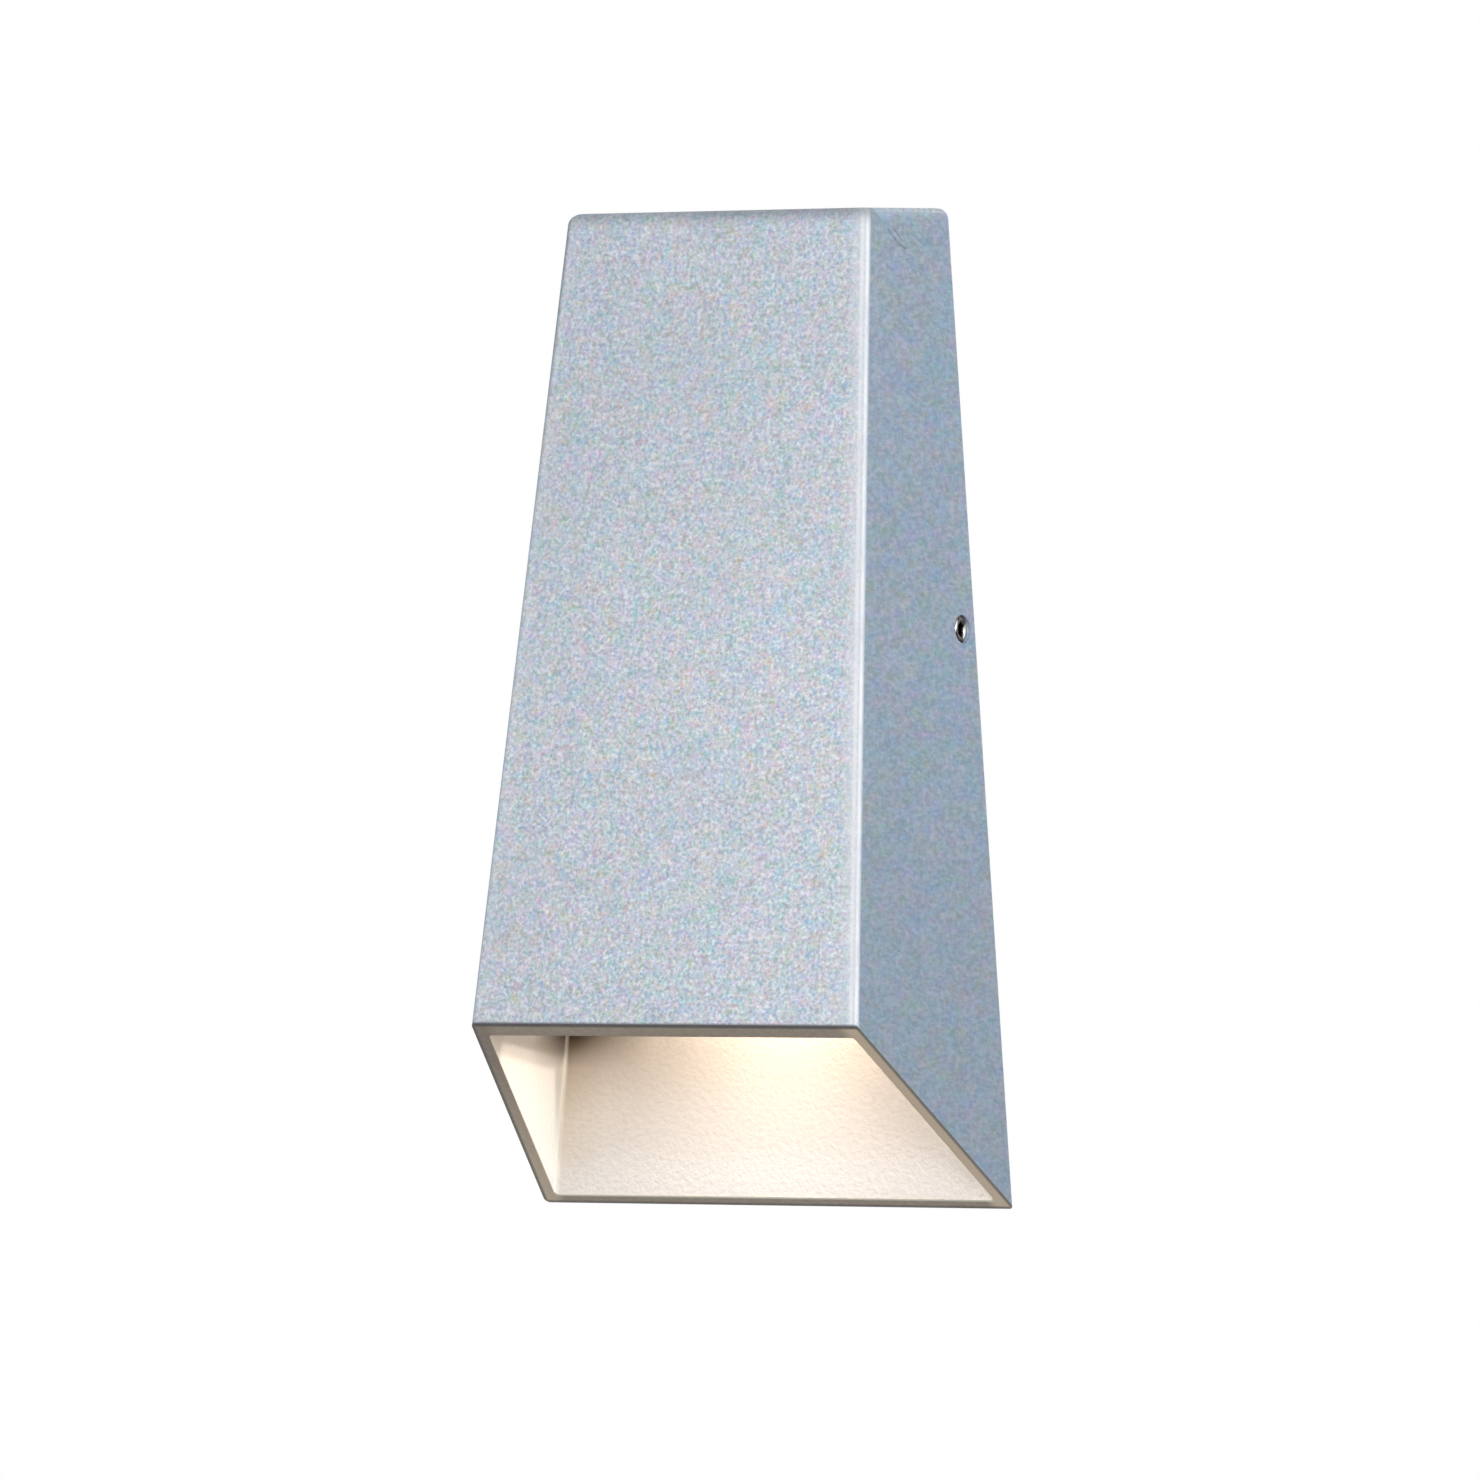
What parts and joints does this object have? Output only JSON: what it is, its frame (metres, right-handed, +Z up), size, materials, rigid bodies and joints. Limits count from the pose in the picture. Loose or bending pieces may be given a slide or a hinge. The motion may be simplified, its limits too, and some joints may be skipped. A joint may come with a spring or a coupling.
{
  "type": "up-down wall light",
  "caption": "Tapered cast wall light with a slanted open mouth below and a glass window on top, held on a wall bracket by a set screw in each side.",
  "frame": {"origin": "middle of the bracket's fixing slots, on the wall and level with the set screws", "axes": "+Z up, +Y into the wall with the front of the light towards -Y, +X to the right as seen from the front"},
  "size_m": [0.0942, 0.0473, 0.18],
  "materials": {
    "steel_sheet": "zinc-plated sheet, satin",
    "brass_plated": "plated screw, bright",
    "cast_housing": "textured silver-grey coat on cast aluminium",
    "set_screw_steel": "plain steel, bright edges",
    "cover_sheet": "mill-finish sheet",
    "black_rubber": "matt",
    "screw_steel": "plated screw",
    "white_board": "white solder mask on a metal-core board",
    "phosphor": "yellow phosphor, lit warm white, emissive",
    "reflector_white": "white moulded reflector",
    "pane_glass": "clear toughened glass",
    "pale_silicone": "translucent silicone",
    "frame_coat": "pale coat on aluminium",
    "driver_plastic": "moulded case",
    "driver_lid_plastic": "moulded lid",
    "circuit_board": "green solder mask",
    "ferrite": "dark ferrite and tape",
    "capacitor_sleeve": "dark sleeve",
    "connector_plastic": "green connector",
    "terminal_plastic": "natural nylon",
    "brass": "turned brass",
    "tinned_copper": "tinned",
    "lead_brown": "lead sleeving",
    "lead_green": "lead sleeving",
    "lead_red": "lead sleeving"
  },
  "bodies": {
    "bracket": {"wall_bracket": "steel_sheet", "bracket_earth_screw": "brass_plated"},
    "housing": {"housing": "cast_housing", "rear_cover": "cover_sheet", "rear_cover_gasket": "black_rubber", "rear_cover_screws": "screw_steel", "cable_grommet": "black_rubber", "lower_led_board": "white_board", "lower_led_chips": "phosphor", "lower_board_screws": "screw_steel", "lower_reflector": "reflector_white", "lower_glass": "pane_glass", "lower_glass_gasket": "pale_silicone", "lower_glass_frame": "frame_coat", "lower_frame_screws": "screw_steel", "upper_led_board": "white_board", "upper_led_chips": "phosphor", "upper_board_screws": "screw_steel", "upper_reflector": "reflector_white", "upper_glass": "pane_glass", "upper_glass_gasket": "pale_silicone", "driver_case": "driver_plastic", "driver_lid": "driver_lid_plastic", "driver_board": "circuit_board", "driver_transformer": "ferrite", "driver_capacitors": "capacitor_sleeve", "driver_connectors": "connector_plastic", "driver_screws": "screw_steel", "terminal_block": "terminal_plastic", "terminal_sleeves": "brass", "terminal_clamp_screws": "screw_steel", "terminal_block_screws": "screw_steel", "earth_lug": "tinned_copper", "earth_lug_screw": "brass_plated", "supply_leads": "lead_brown", "earth_lead": "lead_green", "lower_led_leads": "lead_red", "upper_led_leads": "lead_red"},
    "left_set_screw": {"left_set_screw": "set_screw_steel"},
    "right_set_screw": {"right_set_screw": "set_screw_steel"}
  },
  "joints": [
    {"name": "housing_pull", "type": "slide", "parent": "bracket", "child": "housing", "axis": [0, -1, 0], "range_m": [0, 0.05]},
    {"name": "left_screw_out", "type": "slide", "parent": "housing", "child": "left_set_screw", "axis": [-1, 0, 0], "range_m": [0, 0.0025]},
    {"name": "right_screw_out", "type": "slide", "parent": "housing", "child": "right_set_screw", "axis": [1, 0, 0], "range_m": [0, 0.0025]}
  ]
}
